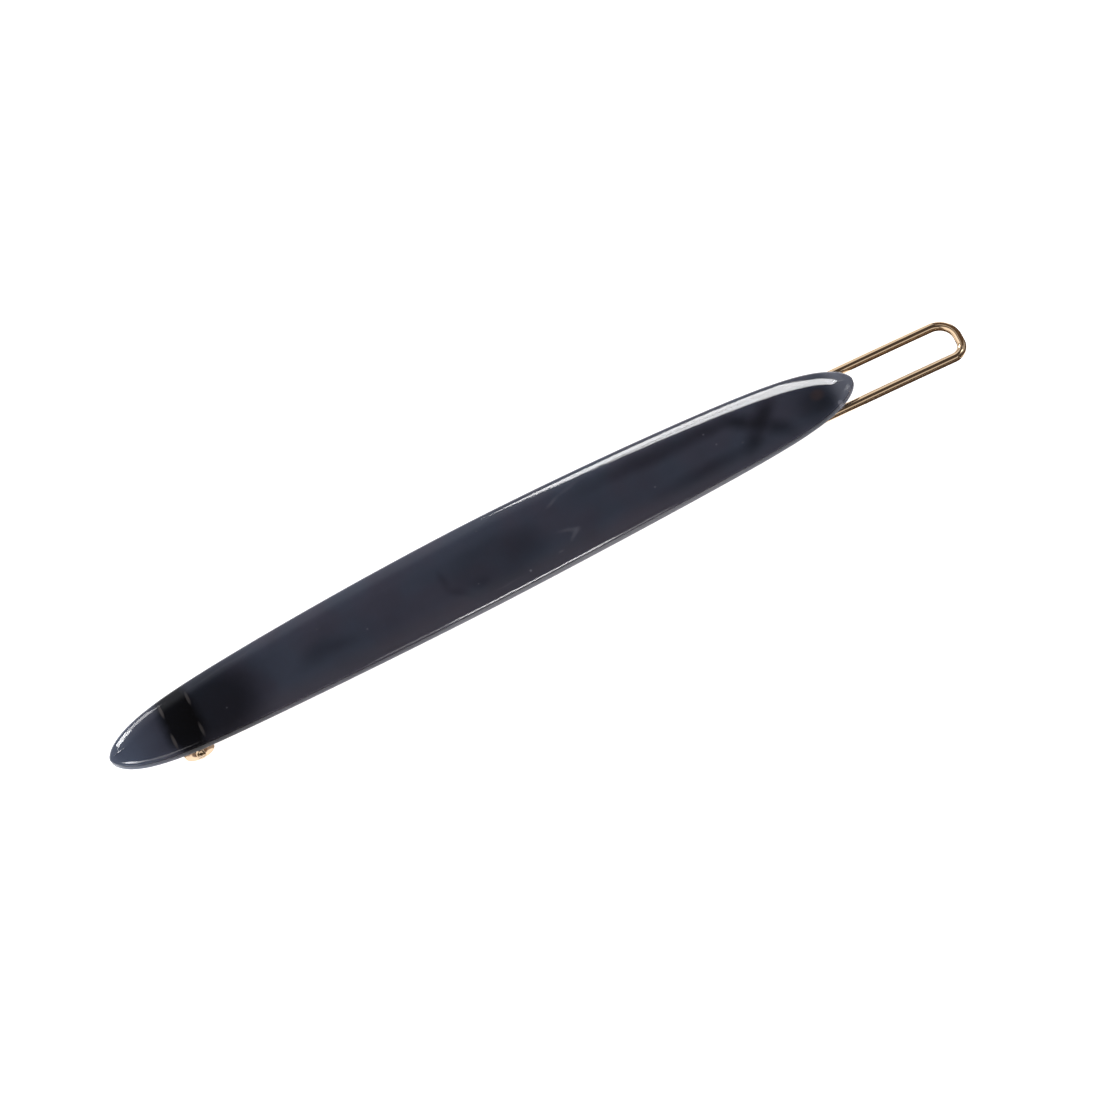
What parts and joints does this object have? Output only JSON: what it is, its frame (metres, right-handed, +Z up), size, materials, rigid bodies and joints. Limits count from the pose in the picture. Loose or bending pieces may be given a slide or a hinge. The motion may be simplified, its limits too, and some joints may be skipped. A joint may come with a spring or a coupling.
{
  "type": "hair clip with wire loop and ball clasp",
  "caption": "Slim arched leaf-shaped hair clip in smoky translucent acetate, with a hinged gold wire loop that closes over a ball stud and stands out past one tip.",
  "frame": {"origin": "on the surface that the clip lies on, under the middle of its bounding box", "axes": "+X along the clip from the hinge to the free end of the wire loop, +Z up through the polished face, -Y towards the picture's viewer"},
  "size_m": [0.1222, 0.0122, 0.0073],
  "materials": {
    "smoky_acetate": "polished",
    "gold_sheet": "polished",
    "gold_wire": "polished",
    "gold_stud": "polished"
  },
  "bodies": {
    "clip": {"plate": "smoky_acetate", "hinge_bracket": "gold_sheet", "ball_stud": "gold_stud"},
    "loop": {"wire_loop": "gold_wire"}
  },
  "joints": [
    {"name": "loop_hinge", "type": "hinge", "parent": "clip", "child": "loop", "pos_m": [-0.05035, 0.00032, 0.00205], "axis": [0, 1, 0], "range_deg": [0, 70]}
  ]
}
